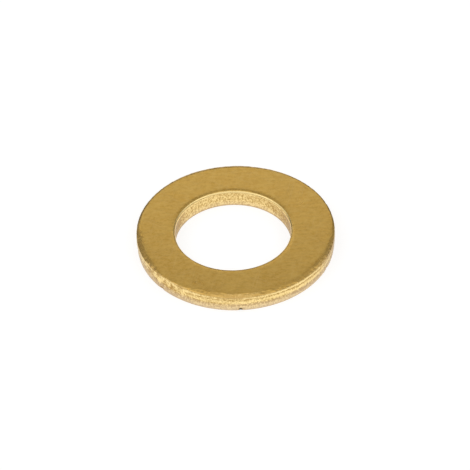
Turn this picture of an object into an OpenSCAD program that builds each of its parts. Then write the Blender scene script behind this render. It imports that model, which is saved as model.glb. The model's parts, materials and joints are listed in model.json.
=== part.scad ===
// Plain round washer, stamped from brass sheet. All sizes are in millimetres.
// The origin is on the bore's axis, on the plane the washer lies on; +Z points to the face with the rolled edges.

/* [Washer] */

// Outside diameter
outer_diameter = 18; // [16:0.1:30]
// Bore diameter
bore_diameter = 10.5; // [6:0.1:12]
// Sheet thickness
thickness = 1.7; // [1.4:0.1:3]
// Distance from the bore's axis to the rim's axis, along +X
rim_offset = 0.23; // [0:0.01:0.5]

/* [Stamped rim] */

// Width of the band of the top face that the die rolled over
roll_width = 0.6; // [0.4:0.05:0.8]
// Depth to which the roll drops below the top face
roll_depth = 0.24; // [0.1:0.02:0.4]
// Height of the torn zone at the foot of the rim
torn_height = 0.85; // [0.2:0.05:1]
// How far the torn zone draws in at the bottom face
torn_taper = 0.06; // [0.01:0.01:0.2]

/* [Punched bore] */

// Radius of the bore's rounded top edge
bore_edge_radius = 0.28; // [0.05:0.01:0.4]

/* [Hidden] */

$fn = 180;
brass = [0.72, 0.53, 0.24];
outer_radius = outer_diameter / 2;
bore_radius = bore_diameter / 2;
// An arc of this radius leaves the top face smoothly and reaches the rim at the roll's width and depth.
roll_radius = (roll_width * roll_width + roll_depth * roll_depth) / (2 * roll_depth);
// The bore's cutter runs this far past both faces.
overrun = 1;

// Half of the disc's section: X is the distance from the rim's axis and Y is the height.
module disc_section() {
    flat_radius = outer_radius - roll_width;
    roll_foot = thickness - roll_depth;
    square([flat_radius, thickness]);
    polygon([
        [0, 0],
        [outer_radius - torn_taper, 0],
        [outer_radius, torn_height],
        [outer_radius, roll_foot],
        [0, roll_foot]
    ]);
    intersection() {
        translate([flat_radius, thickness - roll_radius])
            circle(r = roll_radius);
        translate([flat_radius, roll_foot])
            square([roll_width, roll_depth]);
    }
}

// Half of the bore cutter's section: a straight wall that flares into the top face.
module bore_section() {
    flare_foot = thickness - bore_edge_radius;
    translate([0, -overrun])
        square([bore_radius, thickness + 2 * overrun]);
    difference() {
        translate([0, flare_foot])
            square([bore_radius + bore_edge_radius, bore_edge_radius + overrun]);
        translate([bore_radius + bore_edge_radius, flare_foot])
            circle(r = bore_edge_radius);
    }
}

module washer_ring() {
    color(brass)
        difference() {
            translate([rim_offset, 0, 0])
                rotate_extrude()
                    disc_section();
            rotate_extrude()
                bore_section();
        }
}

washer_ring();
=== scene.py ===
"""A plain flat washer stamped from brass sheet, lying on a pale floor.

The ring is one closed mesh. It is built ring by ring round its section, so that the rolled top edge, the
burnished band, the torn zone, the punched bore and the dents in the rim are all real relief. Lengths of the
washer and of its material are in millimetres until they reach Blender. The washer's azimuths are in degrees
from +X, so the camera looks at it from -90.
"""

import json
import math
from types import SimpleNamespace

import bpy
import numpy as np
from mathutils import Matrix, Vector, noise

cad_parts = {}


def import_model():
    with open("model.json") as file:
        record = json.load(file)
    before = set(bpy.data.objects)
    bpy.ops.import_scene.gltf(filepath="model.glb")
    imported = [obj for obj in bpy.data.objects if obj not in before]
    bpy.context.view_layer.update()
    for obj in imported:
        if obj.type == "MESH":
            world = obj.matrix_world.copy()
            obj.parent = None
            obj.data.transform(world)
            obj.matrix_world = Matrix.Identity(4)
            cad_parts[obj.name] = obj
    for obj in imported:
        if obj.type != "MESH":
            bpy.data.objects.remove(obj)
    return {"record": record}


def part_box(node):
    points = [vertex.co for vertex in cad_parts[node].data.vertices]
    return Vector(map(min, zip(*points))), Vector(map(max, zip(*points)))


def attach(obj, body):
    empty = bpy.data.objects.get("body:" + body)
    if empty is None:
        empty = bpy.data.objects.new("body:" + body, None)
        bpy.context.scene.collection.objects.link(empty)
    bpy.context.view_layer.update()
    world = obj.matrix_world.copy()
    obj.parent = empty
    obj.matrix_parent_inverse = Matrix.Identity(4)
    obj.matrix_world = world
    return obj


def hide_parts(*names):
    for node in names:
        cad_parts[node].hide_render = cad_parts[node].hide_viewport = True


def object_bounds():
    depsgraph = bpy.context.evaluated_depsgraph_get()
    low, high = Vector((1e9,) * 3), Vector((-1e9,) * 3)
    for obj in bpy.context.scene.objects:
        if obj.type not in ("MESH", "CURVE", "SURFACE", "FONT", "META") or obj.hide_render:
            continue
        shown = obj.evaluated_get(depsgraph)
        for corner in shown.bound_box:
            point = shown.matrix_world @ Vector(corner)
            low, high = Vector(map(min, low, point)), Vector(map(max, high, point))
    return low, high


MM = 0.001

# ---------------------------------------------------------------- the frame

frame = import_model()
CAD_LOW, CAD_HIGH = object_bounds()

# The rim and the top face stand back by this much, so that their relief stays inside the CAD's box.
RELIEF_ROOM = 0.008
low, high = (np.array(corner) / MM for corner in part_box("washer_ring"))
RIM_RADIUS = (high[0] - low[0]) / 2 - RELIEF_ROOM
RIM_X = (high[0] + low[0]) / 2
TOP = high[2] - RELIEF_ROOM
bore_dims = next(mount["dims"] for mount in frame["record"]["mounts"] if mount["name"] == "bore")
BORE_RADIUS = bore_dims["r_mm"]
BORE_WALL = bore_dims["length_mm"]

# ---------------------------------------------------------------- the washer's shape

# The die rolled the top face over towards the rim's wall: azimuth, and the roll's width and depth there.
ROLL = (
    (-172, 0.95, 0.30),
    (-160, 0.90, 0.28),
    (-149, 0.52, 0.23),
    (-139, 0.18, 0.11),
    (-124, 0.18, 0.11),
    (-112, 0.53, 0.22),
    (-90, 0.50, 0.26),
    (-76, 0.52, 0.19),
    (-55, 0.53, 0.17),
    (-40, 0.62, 0.21),
    (-30, 0.62, 0.27),
    (-18, 0.56, 0.28),
    (-5, 0.46, 0.16),
    (8, 0.24, 0.11),
    (25, 0.22, 0.11),
    (90, 0.48, 0.20),
    (150, 0.40, 0.16),
    (174, 0.44, 0.16),
)
# Its width and depth stray from the table by this share, and the edge is ragged, more so where it was hit.
ROLL_STRAY = 0.08
RAGGED = 0.012
RAGGED_WHERE_HIT = 0.024
# The roll falls away with this power of its width's share: 2 is an arc, and near 1 it is almost a bevel.
ROLL_POWER = 2.0
BEVEL_POWER = 1.15
# A small arc, the shoulder, joins the roll to the wall. This is its radius, what wear adds to it at one end,
# and its most as a share of the roll's depth.
SHOULDER = 0.065
WORN_SHOULDER = 0.15
SHOULDER_SHARE = 0.55
# The lean where the roll meets the shoulder is found by this many repeated guesses.
GUESSES = 8
# Below this height the rim is torn, and it draws in a little on its way to the bottom face.
TORN_HEIGHT = 0.84
TORN_STRAY = 0.10
TORN_STEP = 0.02
TORN_TAPER = 0.05
TAPER_POWER = 1.5
FOOT_EDGE = 0.04
# The punch drew the top face down a little round the bore.
DIP_WIDTH = 0.36
DIP_DEPTH = 0.05

# Stretches of the rim and of the bore that differ from the rest: the azimuth of the middle, and the spread.
BEVELLED = (-86, 48)
HAMMERED = (-95, 30)
ROUGH_ROLL = (-88, 42)
RUBBED_ROLL = (-90, 18)
HIT_EDGE = (-132, 22)
WORN_END = (-18, 12)
# From here on the stretches set painted highlights and painted shade, and the nicked one sets its relief as
# well.
SHADED_EDGE = (-18, 13)
SHADED_WALL = (-8, 12)
NICKED = (-136, 21)
PLAIN_FRONT = (-90, 13)
SHADED_TEAR_BAND = (-46, 14)
STRONG_BANDS = (-58, 15)
DEEP_BANDS = (-36, 17)
SHADED_CHIP = (-88, 3)
SHADED_BORE_RIGHT = (12, 21)
SHADED_BORE_LEFT = (168, 21)
DIMLY_LIT_BORE = (42, 16)
BRIGHTLY_LIT_BORE = (140, 14)
LIP_HIGHLIGHT_RIGHT = (48, 26)
LIP_HIGHLIGHT_LEFT = (138, 26)

# Dents knocked into the rim's shoulder: azimuth, half-width along the rim, and depth.
SHOULDER_DENTS = (
    (-112, 0.16, 0.035),
    (-119, 0.22, 0.060),
    (-124, 0.14, 0.045),
    (-130, 0.26, 0.070),
    (-136, 0.15, 0.040),
    (-143, 0.20, 0.050),
    (-152, 0.18, 0.030),
    (-71, 0.20, 0.025),
    (-33, 0.24, 0.030),
    (12, 0.20, 0.040),
    (58, 0.26, 0.035),
    (101, 0.18, 0.040),
    (149, 0.30, 0.045),
    (176, 0.16, 0.030),
)
# No dent is deeper than this share of the shoulder's radius, so that none folds its arc.
DEEPEST_DENT = 0.5
# Chips out of the rim's foot, in the same form.
FOOT_CHIPS = (
    (-88.2, 0.16, 0.07),
    (-139, 0.20, 0.06),
    (-24, 0.18, 0.05),
    (47, 0.22, 0.08),
    (128, 0.16, 0.06),
)
# A chip presses in towards the bore, and up by this share of its depth.
CHIP_RISE = 0.35
# Each millimetre of a chip's depth paints this much shade into the metal, and takes this much from its
# paleness.
CHIP_PAINTED_SHADE = 60
CHIP_SHADE_UNPALES = 25
# Painted shade starts at the first of these depths of a chip at the front, and is darkest from the second on.
CHIP_SHADE_DEPTHS = (0.015, 0.04)

# ---------------------------------------------------------------- the washer's relief

# Patterns: a feature's length along X, Y and Z, the octaves, and a shift that keeps it unlike the others.
PATTERNS = {
    "fine_lines": ((2.6, 2.6, 0.085), 2, 0.0),
    "scores": ((0.16, 0.16, 1.2), 2, 7.0),
    "tears": ((0.17, 0.17, 0.30), 3, 3.0),
    "pits": ((0.24, 0.24, 0.26), 3, 11.0),
    "waves": ((1.8, 1.8, 1.8), 2, 5.0),
    "hammer": ((0.32, 0.32, 0.32), 2, 15.0),
    "nicks": ((0.30, 0.30, 0.55), 2, 27.0),
}
# How far the whole of each zone stands out, and how high each pattern is in it.
RELIEF = {
    "nicked": (-0.006, {"nicks": 0.030}),
    "burnish": (0.0, {"fine_lines": 0.008, "scores": 0.0045, "tears": 0.009}),
    "torn": (-0.010, {"tears": 0.028}),
    "foot": (-0.006, {"tears": 0.012}),
    "shoulder": (0.0, {"fine_lines": 0.006, "waves": 0.008, "hammer": 0.012}),
    "face": (0.0, {"waves": 0.0035}),
    "worked": (0.0, {"waves": 0.004, "hammer": 0.012}),
    "bore": (-0.006, {"pits": 0.020}),
    "bore_foot": (-0.004, {"pits": 0.008}),
    "bore_edge": (0.0, {"waves": 0.003, "hammer": 0.007}),
}
# The nicked stretch gets painted glints and painted shade as well, in this pattern and of this strength.
NICK_GLINT_PATTERN = ((0.34, 0.34, 0.45), 3, 19.0)
NICK_GLINT_STRENGTH = 2.6
# How coarse the roll and the bore are at most, where the torn zone is 1.
COARSE_ROLL = 0.7
COARSE_BORE = 0.55

# ---------------------------------------------------------------- how the dies left the metal

# The die rubbed none of the skin off where it bent the sheet to the first lean, in degrees, and the most of
# it at the second. The lip of the bore has leans of its own.
RUB_LEANS = (6, 48)
MOST_RUBBED = 0.935
LIP_RUB_LEANS = (12, 34)
# Lines that the die drew along the roll: their length, the octaves, the first ring's shift and what the last
# ring's adds to it.
DRAWN_LENGTH = 1.3
DRAWN_OCTAVES = 2
DRAWN_SHIFT = 60
DRAWN_SHIFT_GROWS = 13
# How light cut metal is, above 0 lighter and below 0 darker: the metal's own tone on the roll, the shoulder
# and the bore, and painted shade at the rim's foot and the bore's foot, where they meet the floor.
ROLL_SHINE = -0.7
SHOULDER_SHINE = -0.9
RIM_FOOT_SHADE = -1.4
BORE_SHINE = 0.20
BORE_FOOT_SHADE = -1.8

# ---------------------------------------------------------------- the mesh's rings

# The points of each ring, and the number of rings along each part of the section.
AROUND = 840
DIP_RINGS = 5
FACE_RINGS = 12
ROLL_RINGS = 14
SHOULDER_RINGS = 7
BURNISH_RINGS = 13
TORN_RINGS = 18
FOOT_RINGS = 4
BOTTOM_RINGS = 7
BORE_RINGS = 19
BORE_EDGE_RINGS = 10

azimuth = np.linspace(-math.pi, math.pi, AROUND, endpoint=False)
cosine, sine = np.cos(azimuth), np.sin(azimuth)
# Adding this to a plain number gives that number at every azimuth.
level = np.zeros(AROUND)


def grain(points, size, octaves=2, shift=0.0):
    """Fractal noise of about -1 to 1 at each point. size is a feature's length along X, Y and Z."""
    cells = points.reshape(-1, 3) / np.array(size) + shift
    values = [noise.fractal(Vector(cell), 1.0, 2.0, octaves) for cell in cells]
    return np.array(values).reshape(points.shape[:-1])


def round_rim(size, octaves=2, shift=0.0):
    """Noise that changes only with the azimuth, of features about size long on the rim."""
    circle = np.stack([RIM_RADIUS * cosine, RIM_RADIUS * sine, level], 1)
    return grain(circle, (size, size, size), octaves, shift)


def hump(away, spread):
    """A smooth hump, of height 1 where away is 0."""
    return np.exp(-((away / spread) ** 2))


def degrees_from(centre):
    """How many degrees each azimuth is from the centre, at most half a turn either way."""
    return (np.degrees(azimuth) - centre + 180) % 360 - 180


def lobe(stretch):
    """A smooth hump of height 1 over a stretch of the washer, for every azimuth."""
    centre, spread = stretch
    return hump(degrees_from(centre), spread)


def smooth(low_end, high_end, value):
    """0 below low_end, 1 above high_end, and a smooth step between."""
    t = np.clip((value - low_end) / (high_end - low_end), 0, 1)
    return t * t * (3 - 2 * t)


def shares_after_start(count):
    """Even steps to 1, without the 0 that they start from."""
    return np.linspace(0, 1, count + 1)[1:]


def shares_between(count):
    """Even steps from 0 to 1, without either end."""
    return np.linspace(0, 1, count + 2)[1:-1]


def between_stations(stations):
    """The columns of a table that starts with the azimuth, filled in smoothly right round the rim."""
    table = np.array(stations)
    whole_turn = np.array([360.0] + [0.0] * (table.shape[1] - 1))
    table = np.vstack([table[-1] - whole_turn, table, table[0] + whole_turn])
    degrees = np.degrees(azimuth)
    after = np.searchsorted(table[:, 0], degrees, side="right")
    start, end = table[after - 1], table[after]
    share = smooth(start[:, 0], end[:, 0], degrees)
    return (start + (end - start) * share[:, None]).T[1:]


class Section:
    """Collects the rings of the washer's section, each a radius and a height for every azimuth.

    A ring also has zones, which are values for every azimuth. Most are weights that say which relief it gets,
    such as torn or bore. arc is the shoulder's radius. bare is 0 on the sheet's skin and 1 on cut metal.
    Another zone says how light cut metal is, above or below 0: partly the metal's own tone, and mostly
    painted highlights and painted shade. pale is how chalky it is.
    """

    def __init__(self):
        self.points = []
        self.normals = []
        self.zones = []

    def ring(self, centre_x, radius, height, lean, **zones):
        """lean is the angle of the surface's normal from straight up towards the outside of the ring."""
        x = centre_x + radius * cosine
        y = radius * sine
        self.points.append(np.stack([x, y, height + level], 1))
        self.normals.append(np.stack([np.sin(lean) * cosine, np.sin(lean) * sine, np.cos(lean) + level], 1))
        self.zones.append({name: weight + level for name, weight in zones.items()})

    def zone(self, name):
        """One zone's value at every point, which is 0 on a ring that isn't in it."""
        return np.array([zones.get(name, level) for zones in self.zones])


def bared(lean):
    """How much of the sheet's skin the die has rubbed off where it bent the surface to this lean."""
    return MOST_RUBBED * smooth(*np.radians(RUB_LEANS), np.abs(lean))


def top_face(section, inner, outer, slope):
    """From the bore's edge to the roll: a shallow dip, then flat sheet."""
    for share in shares_after_start(DIP_RINGS):
        radius = inner + DIP_WIDTH * share
        drop = DIP_DEPTH * (1 - share) ** 2
        section.ring(0.0, radius, TOP - drop, -slope * (1 - share), face=share, worked=1 - share)
    start = inner + DIP_WIDTH
    for share in shares_between(FACE_RINGS):
        section.ring(RIM_X * share, start + (outer - start) * share, TOP, 0.0, face=1.0)


def roll(section, width, reach, drop, power):
    """The face's fall towards the rim, over a reach that is the roll's width less what the shoulder takes."""
    for turn in np.linspace(0, 1, ROLL_RINGS):
        lean = np.arctan(power * drop / reach * turn ** (power - 1))
        rubbed = 0.55 * smooth(0.0, 0.15, turn) * lobe(RUBBED_ROLL)
        drawn_lines = 1.8 * round_rim(DRAWN_LENGTH, DRAWN_OCTAVES, DRAWN_SHIFT + DRAWN_SHIFT_GROWS * turn)
        section.ring(
            RIM_X,
            RIM_RADIUS - width + reach * turn,
            TOP - drop * turn**power,
            lean,
            face=1 - smooth(0, 0.5, turn),
            worked=smooth(0, 0.25, turn) * (1 + lobe(HAMMERED)),
            rolled=(1 - 0.5 * turn) * lobe(ROUGH_ROLL),
            bare=np.maximum(bared(lean), rubbed),
            pale=0.35 * turn,
            shine=ROLL_SHINE - 0.3 * smooth(0.2, 0.8, turn) + drawn_lines,
        )


def shoulder(section, depth, arc, meet):
    """The small arc from the lean where it meets the roll to the upright wall, with a painted highlight
    towards the wall.
    """
    painted_highlight = 1.9 * (1 - 1.3 * lobe(SHADED_EDGE))
    for turn in shares_after_start(SHOULDER_RINGS):
        lean = meet + (math.pi / 2 - meet) * turn
        section.ring(
            RIM_X,
            RIM_RADIUS - arc + arc * np.sin(lean),
            TOP - depth + arc * np.cos(lean),
            lean,
            shoulder=1.0,
            arc=arc,
            nicked=lobe(NICKED),
            bare=np.maximum(bared(lean), turn),
            pale=0.25 * (1 - turn),
            shine=SHOULDER_SHINE + painted_highlight * turn,
        )


def rolled_edge(section, width, depth):
    """The wide roll of the face, which meets the shoulder where both have the same lean.

    The lean sets how much of the width and the depth is left to the roll, and these set the lean.
    """
    power = ROLL_POWER + (BEVEL_POWER - ROLL_POWER) * lobe(BEVELLED)
    arc = np.minimum(SHOULDER + WORN_SHOULDER * lobe(WORN_END), SHOULDER_SHARE * depth)
    meet = 0 * arc
    for _ in range(GUESSES):
        reach = width - arc * (1 - np.sin(meet))
        drop = depth - arc * np.cos(meet)
        meet = np.arctan(power * drop / reach)
    roll(section, width, reach, drop, power)
    shoulder(section, depth, arc, meet)


def wall_painted_light(height):
    """The painted highlights and painted shade on the rim's wall at a height. They lie in bands that run
    along it, and wander up and down.
    """
    wander = 0.05 * round_rim(2.2, 2, 21.0) + 0.04 * round_rim(0.45, 2, 51.0)
    deepened = 1 + 0.26 * lobe(DEEP_BANDS)
    depth = (TOP - height + wander) / deepened
    front = lobe(PLAIN_FRONT)
    # The depth of each band below the top face, its spread, and its painted light: a painted highlight above
    # 0 and painted shade below.
    bands = (
        (0.24, 0.09, 1.25 - 1.9 * front - 3.8 * lobe(SHADED_EDGE)),
        (0.43, 0.07, -0.45 * (1 - front)),
        (0.66, 0.13, 1.10),
        (1.06, 0.15, -0.60 - 0.40 * lobe(SHADED_TEAR_BAND)),
        (1.34, 0.16, 0.55),
    )
    shine = sum(band_painted_light * hump(depth - centre, spread) for centre, spread, band_painted_light in bands)
    weaker_painted_bands_at_nicks = 1 - 0.75 * lobe(NICKED)
    uneven = 1 + 0.45 * round_rim(0.7, 2, 41.0)
    contrast = weaker_painted_bands_at_nicks * (1 + 0.7 * lobe(STRONG_BANDS)) * uneven
    painted_light_above_shade = lobe(NICKED) * (0.6 - 1.2 * depth)
    return shine * contrast + painted_light_above_shade - 1.2 * lobe(SHADED_WALL)


def rim_wall(section, wall_top):
    """The burnished band, and the torn zone below it down to the foot."""
    tear = TORN_HEIGHT + TORN_STRAY * round_rim(1.6, 3, 4.0)
    for share in shares_after_start(BURNISH_RINGS):
        height = wall_top + (tear - wall_top) * share
        section.ring(
            RIM_X,
            RIM_RADIUS,
            height,
            math.pi / 2,
            burnish=1.0,
            nicked=lobe(NICKED),
            bare=1.0,
            shine=wall_painted_light(height),
        )
    for share in shares_between(TORN_RINGS):
        height = tear + (FOOT_EDGE - tear) * share
        section.ring(
            RIM_X,
            RIM_RADIUS - TORN_STEP * smooth(0, 0.15, share) - TORN_TAPER * share**TAPER_POWER,
            height,
            math.pi / 2,
            torn=smooth(0.0, 0.12, share),
            chipped=smooth(0.60, 0.88, share),
            nicked=lobe(NICKED) * (1 - 0.7 * share),
            bare=1.0,
            pale=0.2 + 0.8 * share,
            # Near the foot the wall gets painted shade where it meets the floor.
            shine=wall_painted_light(height) + RIM_FOOT_SHADE * smooth(0.82, 1.0, share),
        )


def foot_edge(section, foot):
    """The small round at the rim's foot, with painted shade where it meets the floor."""
    for lean in np.linspace(math.pi / 2, math.pi, FOOT_RINGS):
        section.ring(
            RIM_X,
            foot + FOOT_EDGE * math.sin(lean),
            FOOT_EDGE + FOOT_EDGE * math.cos(lean),
            lean,
            foot=1.0,
            chipped=1.0,
            bare=1.0,
            pale=1.0,
            shine=RIM_FOOT_SHADE,
        )


def bottom_face(section, inner, outer):
    """The flat bottom, from the rim's foot back to the bore."""
    for share in shares_between(BOTTOM_RINGS)[::-1]:
        section.ring(RIM_X * share, inner + (outer - inner) * share, 0.0, math.pi, face=1.0)


def bore_foot(section):
    """The small round at the bore's foot, with painted shade where it meets the floor."""
    for lean in np.linspace(-math.pi, -math.pi / 2, FOOT_RINGS):
        section.ring(
            0.0,
            BORE_RADIUS + FOOT_EDGE + FOOT_EDGE * math.sin(lean),
            FOOT_EDGE + FOOT_EDGE * math.cos(lean),
            lean,
            bore_foot=1.0,
            bare=1.0,
            pale=1.0,
            shine=BORE_FOOT_SHADE,
        )


def bore_wall(section):
    """The punched wall, with painted shade at its sides, below its edge and at its foot, and a painted
    highlight line above the foot.
    """
    painted_side_shade = 1.8 * (lobe(SHADED_BORE_RIGHT) + lobe(SHADED_BORE_LEFT))
    shine = BORE_SHINE - painted_side_shade - 0.25 * lobe(DIMLY_LIT_BORE) + 0.4 * lobe(BRIGHTLY_LIT_BORE)
    for share in shares_between(BORE_RINGS):
        painted_highlight_line = 0.6 * hump(share - 0.20, 0.07)
        painted_foot_shade = 2.0 * (1 - smooth(0.0, 0.12, share))
        painted_top_shade = 0.5 * smooth(0.90, 0.98, share)
        section.ring(
            0.0,
            BORE_RADIUS,
            FOOT_EDGE + (BORE_WALL - FOOT_EDGE) * share,
            -math.pi / 2,
            bore=1 - smooth(0.75, 0.95, share),
            bare=1.0,
            pale=0.5 - share,
            shine=shine + painted_highlight_line - painted_foot_shade - painted_top_shade,
        )


def bore_edge(section, edge, slope):
    """The rounded edge between the bore's wall and the top face, with a painted highlight but for a painted
    line of shade below.
    """
    painted_highlight = 2.0 + 1.2 * lobe(LIP_HIGHLIGHT_RIGHT) + 1.8 * lobe(LIP_HIGHLIGHT_LEFT)
    for lean in np.linspace(-math.pi / 2, -slope, BORE_EDGE_RINGS):
        steepness = -math.sin(lean)
        painted_shade_line = 2.3 * smooth(0.90, 1.0, steepness)
        section.ring(
            0.0,
            BORE_RADIUS + edge + edge * math.sin(lean),
            BORE_WALL + edge * math.cos(lean),
            lean,
            bore_edge=1.0,
            bare=smooth(*np.radians(LIP_RUB_LEANS), -lean),
            shine=painted_highlight * smooth(0.2, 0.5, steepness) - painted_shade_line,
        )


def washer_section():
    """The rings of the washer in order: top face, rolled edge, rim, bottom face, bore."""
    section = Section()
    width, depth = between_stations(ROLL)
    width *= 1 + ROLL_STRAY * round_rim(5.0)
    depth *= 1 + ROLL_STRAY * round_rim(4.0, shift=9.0)
    depth += (RAGGED + RAGGED_WHERE_HIT * lobe(HIT_EDGE)) * round_rim(0.38, 2, 31.0)
    slope = math.atan(2 * DIP_DEPTH / DIP_WIDTH)
    edge = (TOP - DIP_DEPTH - BORE_WALL) / math.cos(slope)
    bore_lip = BORE_RADIUS + edge * (1 - math.sin(slope))
    foot = RIM_RADIUS - TORN_STEP - TORN_TAPER - FOOT_EDGE

    top_face(section, bore_lip, RIM_RADIUS - width, slope)
    rolled_edge(section, width, depth)
    rim_wall(section, TOP - depth)
    foot_edge(section, foot)
    bottom_face(section, BORE_RADIUS + FOOT_EDGE, foot)
    bore_foot(section)
    bore_wall(section)
    bore_edge(section, edge, slope)
    return section


def dents(section, marks, zone):
    """How deep the marks press in, for every point in the zone."""
    depth = 0 * section.zone(zone)
    for centre, half_width, deep in marks:
        along = np.radians(degrees_from(centre)) * RIM_RADIUS
        depth += deep * hump(along, half_width)[None, :] * section.zone(zone)
    return depth


def relief(section, points):
    """How far each point stands out from its smooth place, along the normal."""
    patterns = {name: grain(points, *measures) for name, measures in PATTERNS.items()}
    height = -dents(section, SHOULDER_DENTS, "shoulder")
    for zone, (offset, amounts) in RELIEF.items():
        height += section.zone(zone) * (offset + sum(amounts[name] * patterns[name] for name in amounts))
    on_shoulder = section.zone("shoulder") > 0
    return np.where(on_shoulder, np.maximum(height, -DEEPEST_DENT * section.zone("arc")), height)


def coarseness(section):
    """How coarse the metal is: 0 on the sheet and where the die slid over it, 1 where it tore."""
    at_rim = np.maximum(section.zone("torn"), section.zone("foot"))
    on_roll = COARSE_ROLL * section.zone("rolled")
    in_bore = COARSE_BORE * np.maximum(section.zone("bore"), section.zone("bore_foot"))
    return np.maximum(np.maximum(at_rim, on_roll), in_bore)


def ring_mesh():
    """The washer as one closed mesh of quads, with what the material needs as attributes."""
    section = washer_section()
    points = np.array(section.points)
    normals = np.array(section.normals)
    height = relief(section, points)
    chips = dents(section, FOOT_CHIPS, "chipped")
    inward = np.stack([-cosine, -sine, CHIP_RISE + level], 1)
    points = np.clip(points + normals * height[..., None] + inward * chips[..., None], low, high)

    rings = len(points)
    index = np.arange(rings * AROUND).reshape(rings, AROUND)
    down = np.roll(index, -1, 0)
    faces = np.stack([index, down, np.roll(down, -1, 1), np.roll(index, -1, 1)], 2).reshape(-1, 4)
    mesh = bpy.data.meshes.new("brass_washer")
    mesh.from_pydata((points.reshape(-1, 3) * MM).tolist(), [], faces.tolist())

    nick_glints_and_shade = NICK_GLINT_STRENGTH * section.zone("nicked") * grain(points, *NICK_GLINT_PATTERN)
    attributes = {
        "bare": section.zone("bare"),
        "face": section.zone("face"),
        "coarse": coarseness(section),
        # Painted highlights and painted shade with the metal's own tone, the nicks' painted glints and the
        # chips' painted shade.
        "shine": section.zone("shine") + nick_glints_and_shade - CHIP_PAINTED_SHADE * chips,
        "pale": np.clip(section.zone("pale") - CHIP_SHADE_UNPALES * chips, 0, 1),
        "grime": smooth(*CHIP_SHADE_DEPTHS, chips) * lobe(SHADED_CHIP),
    }
    for name, values in attributes.items():
        attribute = mesh.attributes.new(name, "FLOAT", "POINT")
        attribute.data.foreach_set("value", values.astype(np.float32).ravel())
    mesh.shade_smooth()
    mesh.validate()
    return mesh


# ---------------------------------------------------------------- the brass

# The sheet's skin: its two ground shades, and what rolling, mottling, fine grain and scratches mix into it.
SKIN_DARK = (0.775, 0.449, 0.087, 1)
SKIN_LIGHT = (0.87, 0.54, 0.12, 1)
ROLLED_BROWN = (0.635, 0.369, 0.076, 1)
MOTTLE_GOLD = (0.968, 0.658, 0.196, 1)
FINE_GOLD = (0.938, 0.607, 0.168, 1)
SCRATCH_GOLD = (0.98, 0.72, 0.30, 1)
# Cut metal at its darkest, at its lightest and where it is chalky, and the painted shade in a chip at the
# front.
CUT_DARK = (0.48, 0.285, 0.075, 1)
CUT_LIGHT = (1.0, 0.765, 0.34, 1)
CHALK = (0.74, 0.605, 0.44, 1)
CHIP_SHADE_COLOUR = (0.16, 0.12, 0.07, 1)
# The tint of reflections at a glancing angle.
GLANCING_TINT = (0.86, 0.85, 0.84, 1)

# The scratches run in these directions, in degrees. They mix into the skin by a share, and roughen it.
SCRATCH_TURNS = (24, 78, -37)
SCRATCH_SHARE = 0.35
SCRATCH_ROUGHNESS = 0.08
# How much 1 of the painted light and tone lightens cut metal, and the share of chalk where it is palest.
SHINE_LIGHTENS = 0.54
MOST_CHALK = 0.7
# The bump's height is in millimetres.
BUMP_STRENGTH = 0.4
BUMP_HEIGHT = 0.01


class Nodes:
    """Short forms for the nodes that the materials use."""

    def __init__(self, tree):
        self.tree = tree

    def add(self, kind, **settings):
        node = self.tree.nodes.new(kind)
        for name, value in settings.items():
            setattr(node, name, value)
        return node

    def link(self, source, target):
        self.tree.links.new(source, target)

    def feed(self, target, value):
        """Links a socket to a target, or sets the target to a plain value."""
        if isinstance(value, bpy.types.NodeSocket):
            self.link(value, target)
        else:
            target.default_value = value

    def attribute(self, name):
        return self.add("ShaderNodeAttribute", attribute_name=name).outputs["Fac"]

    def place(self, stretch, turn):
        """Object coordinates turned about Z by turn degrees, in units of stretch millimetres."""
        coordinates = self.add("ShaderNodeTexCoord")
        mapping = self.add("ShaderNodeMapping", vector_type="TEXTURE")
        mapping.inputs["Scale"].default_value = [MM * size for size in stretch]
        mapping.inputs["Rotation"].default_value = (0, 0, math.radians(turn))
        self.link(coordinates.outputs["Object"], mapping.inputs["Vector"])
        return mapping.outputs["Vector"]

    def noise(self, stretch, detail=3.0, roughness=0.6, turn=0.0):
        """Noise from 0 to 1 whose features are about stretch millimetres long."""
        node = self.add("ShaderNodeTexNoise")
        node.inputs["Scale"].default_value = 1.0
        node.inputs["Detail"].default_value = detail
        node.inputs["Roughness"].default_value = roughness
        self.link(self.place(stretch, turn), node.inputs["Vector"])
        return node.outputs["Fac"]

    def math(self, operation, first, second):
        node = self.add("ShaderNodeMath", operation=operation)
        self.feed(node.inputs[0], first)
        self.feed(node.inputs[1], second)
        return node.outputs["Value"]

    def remap(self, value, source, target):
        """A value moved from one range to another, and kept inside the second."""
        node = self.add("ShaderNodeMapRange")
        sockets = ("Value", "From Min", "From Max", "To Min", "To Max")
        for name, number in zip(sockets, (value, *source, *target)):
            self.feed(node.inputs[name], number)
        return node.outputs["Result"]

    def mix(self, share, first, second):
        """A colour between two others."""
        node = self.add("ShaderNodeMix", data_type="RGBA")
        self.feed(node.inputs[0], share)
        self.feed(node.inputs[6], first)
        self.feed(node.inputs[7], second)
        return node.outputs[2]

    def blend(self, share, first, second):
        """A number between two others."""
        node = self.add("ShaderNodeMix", data_type="FLOAT")
        self.feed(node.inputs[0], share)
        self.feed(node.inputs[2], first)
        self.feed(node.inputs[3], second)
        return node.outputs[0]

    def total(self, *values):
        result = values[0]
        for value in values[1:]:
            result = self.math("ADD", result, value)
        return result

    def times(self, first, second):
        return self.math("MULTIPLY", first, second)

    def opposite(self, share):
        """1 where the share is 0, and 0 where it is 1."""
        return self.math("SUBTRACT", 1.0, share)


def scratches(n):
    """Hairline scratches in the sheet, 1 on a scratch and 0 between them."""
    lines = []
    for turn in SCRATCH_TURNS:
        hairs = n.noise((5.0, 0.07, 0.07), 2.0, 0.5, turn)
        lines.append(n.remap(hairs, (0.64, 0.70), (0.0, 1.0)))
    return n.math("MAXIMUM", lines[0], n.math("MAXIMUM", lines[1], lines[2]))


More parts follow.
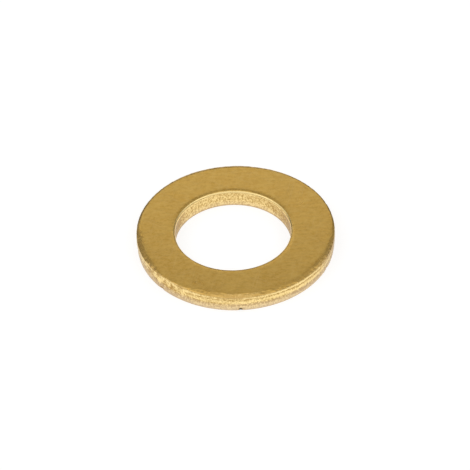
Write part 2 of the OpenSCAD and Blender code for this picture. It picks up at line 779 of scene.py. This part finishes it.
def brass_patterns(n):
    """The mesh's attributes, and the noises that the colour, the roughness and the bump share."""
    names = ("bare", "face", "coarse", "shine", "pale", "grime")
    p = SimpleNamespace(**{name: n.attribute(name) for name in names})
    p.clouds = n.noise((2.2, 2.2, 2.2), 4.0)
    p.rolling = n.noise((1.2, 0.24, 0.24))
    p.mottle = n.noise((0.50, 0.36, 0.40))
    p.speckle = n.noise((0.15, 0.15, 0.22))
    p.streaks = n.noise((1.7, 1.7, 0.10))
    p.fine = n.noise((0.18, 0.18, 0.18), 2.0, turn=33)
    p.scratch = n.times(p.face, scratches(n))
    return p


def skin_colour(n, p):
    """The rolled sheet's colour."""
    skin = n.mix(n.remap(p.clouds, (0.32, 0.68), (0.0, 1.0)), SKIN_DARK, SKIN_LIGHT)
    skin = n.mix(n.remap(p.rolling, (0.38, 0.64), (0.0, 0.44)), skin, ROLLED_BROWN)
    skin = n.mix(n.remap(p.mottle, (0.42, 0.68), (0.0, 0.48)), skin, MOTTLE_GOLD)
    skin = n.mix(n.remap(p.fine, (0.36, 0.64), (0.0, 0.44)), skin, FINE_GOLD)
    return n.mix(n.times(p.scratch, SCRATCH_SHARE), skin, SCRATCH_GOLD)


def cut_colour(n, p):
    """Burnished metal is speckled and streaked. Torn metal has no streaks, and its speckle is stronger."""
    slid_speckle = n.remap(p.speckle, (0.38, 0.62), (0.0, 1.0))
    torn_speckle = n.remap(p.speckle, (0.38, 0.62), (-0.35, 1.35))
    streaks = n.times(n.opposite(p.coarse), n.remap(p.streaks, (0.36, 0.64), (-0.4, 0.4)))
    lightness = n.total(
        n.blend(p.coarse, slid_speckle, torn_speckle),
        # Painted highlights and painted shade from the mesh lighten and darken the cut metal here.
        n.times(p.shine, SHINE_LIGHTENS),
        streaks,
    )
    cut = n.mix(n.remap(lightness, (-0.2, 1.2), (0.0, 1.0)), CUT_DARK, CUT_LIGHT)
    return n.mix(n.times(p.pale, MOST_CHALK), cut, CHALK)


def by_surface(n, p, skin, slid, torn):
    """A number with one value on the sheet's skin, one where the die slid and one where the metal tore."""
    return n.blend(p.coarse, n.blend(n.opposite(p.face), skin, slid), torn)


def brass_roughness(n, p):
    """Satin all over: smoothest where the die slid over the metal, and roughest where it tore."""
    skin = n.total(n.remap(p.clouds, (0.3, 0.7), (0.27, 0.36)), n.times(p.scratch, SCRATCH_ROUGHNESS))
    slid = n.remap(p.streaks, (0.3, 0.7), (0.20, 0.34))
    torn = n.remap(p.speckle, (0.3, 0.7), (0.30, 0.50))
    return by_surface(n, p, skin, slid, torn)


def brass_bump(n, p):
    """The relief that is too fine for the mesh."""
    skin = n.total(
        n.times(p.rolling, 0.6),
        n.times(p.fine, 0.5),
        n.times(p.mottle, 0.6),
        n.times(p.scratch, -0.8),
    )
    slid = n.total(n.times(p.streaks, 1.2), n.times(p.speckle, 0.8))
    torn = n.total(n.times(p.speckle, 3.0), p.fine)
    bump = n.add("ShaderNodeBump")
    bump.inputs["Strength"].default_value = BUMP_STRENGTH
    bump.inputs["Distance"].default_value = BUMP_HEIGHT * MM
    n.link(by_surface(n, p, skin, slid, torn), bump.inputs["Height"])
    return bump.outputs["Normal"]


def brass_material():
    """Rolled brass sheet on the faces, burnished and torn metal where the dies cut it."""
    material = bpy.data.materials.new("stamped_brass")
    material.use_nodes = True
    n = Nodes(material.node_tree)
    p = brass_patterns(n)
    metal = n.mix(p.bare, skin_colour(n, p), cut_colour(n, p))
    shader = material.node_tree.nodes["Principled BSDF"]
    shader.inputs["Metallic"].default_value = 1.0
    shader.inputs["Specular Tint"].default_value = GLANCING_TINT
    # The chip at the front gets painted shade.
    n.link(n.mix(p.grime, metal, CHIP_SHADE_COLOUR), shader.inputs["Base Color"])
    n.link(brass_roughness(n, p), shader.inputs["Roughness"])
    n.link(brass_bump(n, p), shader.inputs["Normal"])
    return material


def washer():
    """The one piece, which stands for the CAD's ring."""
    piece = bpy.data.objects.new("brass_washer", ring_mesh())
    bpy.context.scene.collection.objects.link(piece)
    piece.data.materials.append(brass_material())
    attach(piece, "root")
    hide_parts("washer_ring")


# ---------------------------------------------------------------- the studio

# The studio's lengths are in metres, but for the gap in millimetres between the floor and the washer.
FLOOR_GAP = 0.01
FLOOR_HALF = 3.0
FLOOR_GREY = (0.35, 0.35, 0.35, 1)
WHITE = (1, 1, 1, 1)
# The floor's glow grows from the first strength to the second between these distances from the washer.
GLOW_DISTANCES = (0.15, 0.8)
GLOW_STRENGTHS = (0.77, 0.93)
# The room has its walls' light below the first height of a direction, and its ceiling's above the second.
ROOM_HEIGHTS = (0.25, 0.6)
ROOM_LIGHTS = (0.15, 0.33)
# Softboxes: name, azimuth and elevation in degrees, distance, width and height, and radiance.
SOFTBOXES = (
    ("back_softbox", 185, 33, 0.085, (0.072, 0.038), 0.415),
    ("front_softbox", 0, 54, 0.25, (0.56, 0.64), 0.60),
    ("left_softbox", -88, 30, 0.30, (0.32, 0.30), 0.56),
    ("right_softbox", 88, 30, 0.30, (0.32, 0.30), 0.42),
)


def floor():
    """A wide pale floor in the plane that the washer lies on, lit a little from below like a light table."""
    height = CAD_LOW.z - FLOOR_GAP * MM
    corners = [(x * FLOOR_HALF, y * FLOOR_HALF, height) for x, y in ((-1, -1), (1, -1), (1, 1), (-1, 1))]
    mesh = bpy.data.meshes.new("floor")
    mesh.from_pydata(corners, [], [(0, 1, 2, 3)])
    material = bpy.data.materials.new("pale_floor")
    material.use_nodes = True
    shader = material.node_tree.nodes["Principled BSDF"]
    shader.inputs["Base Color"].default_value = FLOOR_GREY
    shader.inputs["Roughness"].default_value = 1.0
    shader.inputs["Specular IOR Level"].default_value = 0.0
    shader.inputs["Emission Color"].default_value = WHITE
    n = Nodes(material.node_tree)
    away = n.add("ShaderNodeVectorMath", operation="LENGTH")
    n.link(n.add("ShaderNodeTexCoord").outputs["Object"], away.inputs[0])
    glow = n.remap(away.outputs["Value"], GLOW_DISTANCES, GLOW_STRENGTHS)
    n.link(glow, shader.inputs["Emission Strength"])
    mesh.materials.append(material)
    stage = bpy.data.objects.new("floor", mesh)
    bpy.context.scene.collection.objects.link(stage)


def toward(azimuth_deg, elevation_deg):
    """The direction from the washer to a place in the studio. Azimuth 0 is the camera's side, -Y."""
    a, e = math.radians(azimuth_deg), math.radians(elevation_deg)
    return Vector((math.sin(a) * math.cos(e), -math.cos(a) * math.cos(e), math.sin(e)))


def softbox(name, azimuth_deg, elevation_deg, distance, size, radiance):
    """A rectangular light that faces the washer."""
    direction = toward(azimuth_deg, elevation_deg)
    light = bpy.data.lights.new(name, "AREA")
    light.shape = "RECTANGLE"
    light.size, light.size_y = size
    light.energy = radiance * math.pi * size[0] * size[1]
    lamp = bpy.data.objects.new(name, light)
    lamp.location = direction * distance
    lamp.rotation_euler = (-direction).to_track_quat("-Z", "Y").to_euler()
    bpy.context.scene.collection.objects.link(lamp)


def world():
    """A grey room, darker near the floor. The camera itself sees a white backdrop."""
    sky = bpy.data.worlds.new("studio")
    sky.use_nodes = True
    n = Nodes(sky.node_tree)
    background = sky.node_tree.nodes["Background"]
    direction = n.add("ShaderNodeSeparateXYZ")
    n.link(n.add("ShaderNodeTexCoord").outputs["Generated"], direction.inputs[0])
    room = n.remap(direction.outputs["Z"], ROOM_HEIGHTS, ROOM_LIGHTS)
    path = n.add("ShaderNodeLightPath")
    n.link(n.blend(path.outputs["Is Camera Ray"], room, 1.0), background.inputs["Color"])
    bpy.context.scene.world = sky


def studio():
    """The floor, the room and the softboxes round the washer."""
    floor()
    world()
    for measures in SOFTBOXES:
        softbox(*measures)
    bpy.context.scene.view_settings.view_transform = "Standard"


# ---------------------------------------------------------------- the camera

VIEW_ELEVATION = 42.0
VIEW_ROLL = -1.42
VIEW_DISTANCE = 40 * RIM_RADIUS
# The rim's radius as a share of the frame's width.
RIM_IN_FRAME = 0.21145
# The camera is aimed at the top face, this far left of the rim's centre and this far in front of it.
AIM_LEFT = 0.062
AIM_IN_FRONT = 0.72
SENSOR = 36.0
# What is nearer or farther than this, in metres, isn't seen.
CLIP_RANGE = (0.01, 10.0)


def camera():
    """A long lens from the front, a little tilted."""
    data = bpy.data.cameras.new("camera")
    data.sensor_width = SENSOR
    data.lens = SENSOR * RIM_IN_FRAME * VIEW_DISTANCE / RIM_RADIUS
    data.clip_start, data.clip_end = CLIP_RANGE
    eye = bpy.data.objects.new("camera", data)
    aim = Vector((RIM_X - AIM_LEFT, -AIM_IN_FRONT, TOP)) * MM
    back = toward(0, VIEW_ELEVATION)
    tilt = Matrix.Rotation(math.radians(VIEW_ROLL), 4, "Z")
    turn = (-back).to_track_quat("-Z", "Y").to_matrix().to_4x4()
    eye.matrix_world = Matrix.Translation(aim + back * VIEW_DISTANCE * MM) @ turn @ tilt
    bpy.context.scene.collection.objects.link(eye)
    bpy.context.scene.camera = eye


camera()
washer()
studio()
